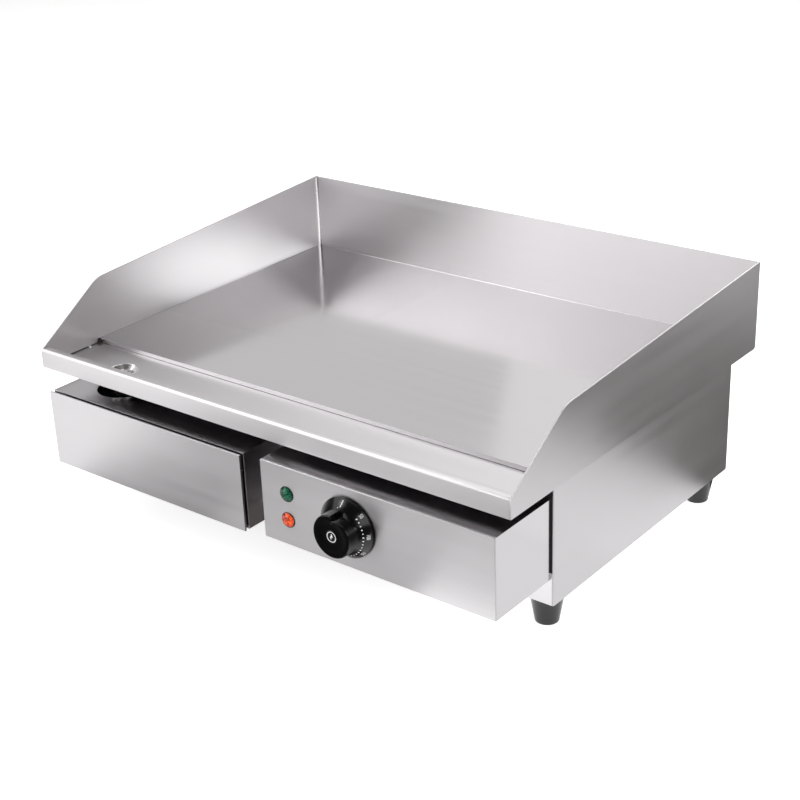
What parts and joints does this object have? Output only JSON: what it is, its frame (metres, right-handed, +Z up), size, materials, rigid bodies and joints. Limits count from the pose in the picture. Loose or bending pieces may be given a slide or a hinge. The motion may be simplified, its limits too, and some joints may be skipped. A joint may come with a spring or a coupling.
{
  "type": "electric griddle",
  "caption": "Countertop electric griddle: flat steel plate with splash guards, front grease trough, pull-out drawer, control box with turning knob.",
  "frame": {"origin": "centre of the whole outline, on the surface the four feet stand on", "axes": "+X to the operator's right along the width, +Y from the front lip to the rear guard, +Z up"},
  "size_m": [0.55, 0.453, 0.227],
  "materials": {
    "stainless": "brushed",
    "plate_steel": "ground and polished",
    "weld": "ground",
    "polished_steel": "polished",
    "element_sheath": "heat darkened",
    "zinc_steel": "zinc plated",
    "insulation": "ceramic fibre",
    "copper": "drawn",
    "knob_black": "gloss",
    "trim_black": "satin",
    "ceramic": "glazed",
    "nylon": "satin",
    "green_lens": "faceted",
    "amber_lens": "faceted",
    "reset_red": "gloss",
    "brass": "turned",
    "wire": "silicone",
    "foot_rubber": "moulded"
  },
  "bodies": {
    "griddle": {"left_guard": "stainless", "right_guard": "stainless", "rear_guard": "stainless", "front_trough": "stainless", "griddle_plate": "plate_steel", "corner_welds": "weld", "plate_welds": "weld", "drain_pipe": "polished_steel", "body_shell": "stainless", "rear_panel": "stainless", "base_plate": "stainless", "heat_shield": "stainless", "insulation_mat": "insulation", "heating_elements": "element_sheath", "clamp_bars": "zinc_steel", "clamp_studs": "zinc_steel", "clamp_nuts": "zinc_steel", "sensor_bulb": "copper", "bulb_clip": "zinc_steel", "capillary_tube": "copper", "drawer_sleeve": "stainless", "drawer_runners": "stainless", "control_shell": "stainless", "control_panel": "stainless", "control_rivets": "zinc_steel", "thermostat_body": "ceramic", "thermostat_screws": "zinc_steel", "green_lens": "green_lens", "amber_lens": "amber_lens", "lamp_bezels": "trim_black", "lamp_bodies": "nylon", "lamp_nuts": "nylon", "terminal_block": "ceramic", "terminal_screws": "brass", "wiring_harness": "wire", "overheat_cutout": "trim_black", "cable_gland": "trim_black", "gland_nut": "trim_black", "bonding_stud": "brass", "bonding_nuts": "brass", "feet": "foot_rubber", "foot_screws": "zinc_steel", "foot_nuts": "zinc_steel", "base_brackets": "stainless", "base_screws": "zinc_steel", "rear_screws": "zinc_steel"},
    "drawer": {"drawer_tray": "stainless", "drawer_front": "stainless", "drawer_rivets": "zinc_steel"},
    "knob": {"knob": "knob_black", "knob_cap": "knob_black", "thermostat_shaft": "zinc_steel"},
    "reset": {"reset_button": "reset_red"}
  },
  "joints": [
    {"name": "drawer_slide", "type": "slide", "parent": "griddle", "child": "drawer", "axis": [0, -1, 0], "range_m": [0, 0.14]},
    {"name": "knob_turn", "type": "hinge", "parent": "griddle", "child": "knob", "pos_m": [0.122, -0.21, 0.0935], "axis": [0, 1, 0], "range_deg": [0, 270]},
    {"name": "reset_press", "type": "slide", "parent": "griddle", "child": "reset", "axis": [0, -1, 0], "range_m": [0, 0.002], "stiffness_N_per_m": 400, "springref_m": -0.001}
  ]
}
